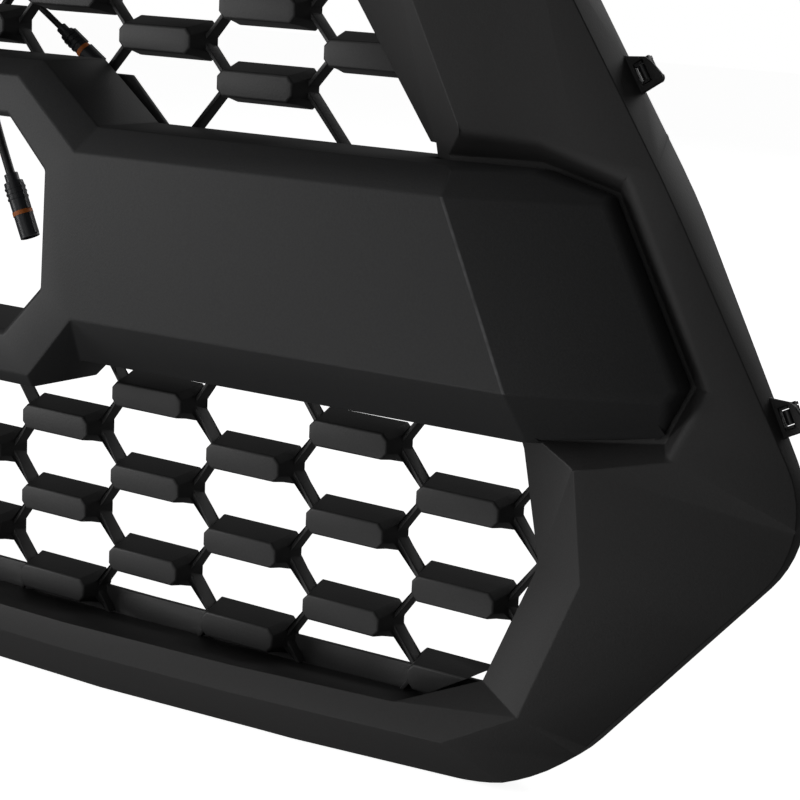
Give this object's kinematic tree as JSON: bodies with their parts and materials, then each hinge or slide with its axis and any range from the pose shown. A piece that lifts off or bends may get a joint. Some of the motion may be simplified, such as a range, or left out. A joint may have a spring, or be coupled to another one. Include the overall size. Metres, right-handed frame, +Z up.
{
  "type": "front grille",
  "caption": "Front grille with a surround, a hexagon-holed crossbar, two honeycomb panels, sprung side clips and wired marker lamps.",
  "frame": {"origin": "middle of the top fixing line, on the top face of the fixing flange", "axes": "+X to the right when facing the front, +Y rearwards to the engine, +Z up"},
  "size_m": [0.9963, 0.0983, 0.43],
  "materials": {
    "surround_plastic": "fine moulded grain, unpainted",
    "crossbar_plastic": "fine moulded grain, unpainted",
    "mesh_plastic": "fine moulded grain, unpainted",
    "screw_steel": "black zinc",
    "clip_nylon": "smooth moulded nylon",
    "tongue_nylon": "polished by use",
    "lamp_housing": "smooth moulding",
    "lamp_lens": "clear amber",
    "lamp_board": "white solder mask",
    "cable_jacket": "soft satin jacket",
    "connector_plastic": "glass-filled nylon",
    "seal_rubber": "silicone",
    "pin_metal": "tinned"
  },
  "bodies": {
    "grille": {"surround": "surround_plastic", "crossbar": "crossbar_plastic", "upper_mesh": "mesh_plastic", "lower_mesh": "mesh_plastic", "upper_mesh_screws": "screw_steel", "lower_mesh_screws": "screw_steel", "crossbar_end_screws": "screw_steel", "clip_upper_right": "clip_nylon", "clip_upper_left": "clip_nylon", "clip_lower_right": "clip_nylon", "clip_lower_left": "clip_nylon", "lamp_housing_right": "lamp_housing", "lamp_lens_right": "lamp_lens", "lamp_board_right": "lamp_board", "cable_right": "cable_jacket", "connector_right": "connector_plastic", "connector_seal_right": "seal_rubber", "connector_pins_right": "pin_metal", "lamp_housing_left": "lamp_housing", "lamp_lens_left": "lamp_lens", "lamp_board_left": "lamp_board", "cable_left": "cable_jacket", "connector_left": "connector_plastic", "connector_seal_left": "seal_rubber", "connector_pins_left": "pin_metal"},
    "tongue_upper_right": {"clip_tongue_upper_right": "tongue_nylon"},
    "tongue_upper_left": {"clip_tongue_upper_left": "tongue_nylon"},
    "tongue_lower_right": {"clip_tongue_lower_right": "tongue_nylon"},
    "tongue_lower_left": {"clip_tongue_lower_left": "tongue_nylon"}
  },
  "joints": [
    {"name": "clip_tongue_upper_right_flex", "type": "hinge", "parent": "grille", "child": "tongue_upper_right", "pos_m": [0.40789, -0.0031, -0.07734], "axis": [-0.543, 0, 0.8397], "range_deg": [-12, 0], "stiffness_Nm_per_rad": 0.4},
    {"name": "clip_tongue_upper_left_flex", "type": "hinge", "parent": "grille", "child": "tongue_upper_left", "pos_m": [-0.40789, -0.0031, -0.07734], "axis": [0.543, 0, 0.8397], "range_deg": [0, 12], "stiffness_Nm_per_rad": 0.4},
    {"name": "clip_tongue_lower_right_flex", "type": "hinge", "parent": "grille", "child": "tongue_lower_right", "pos_m": [0.49035, 0.00249, -0.22519], "axis": [-0.4545, 0, 0.8908], "range_deg": [-12, 0], "stiffness_Nm_per_rad": 0.4},
    {"name": "clip_tongue_lower_left_flex", "type": "hinge", "parent": "grille", "child": "tongue_lower_left", "pos_m": [-0.49035, 0.00249, -0.22519], "axis": [0.4545, 0, 0.8908], "range_deg": [0, 12], "stiffness_Nm_per_rad": 0.4}
  ]
}
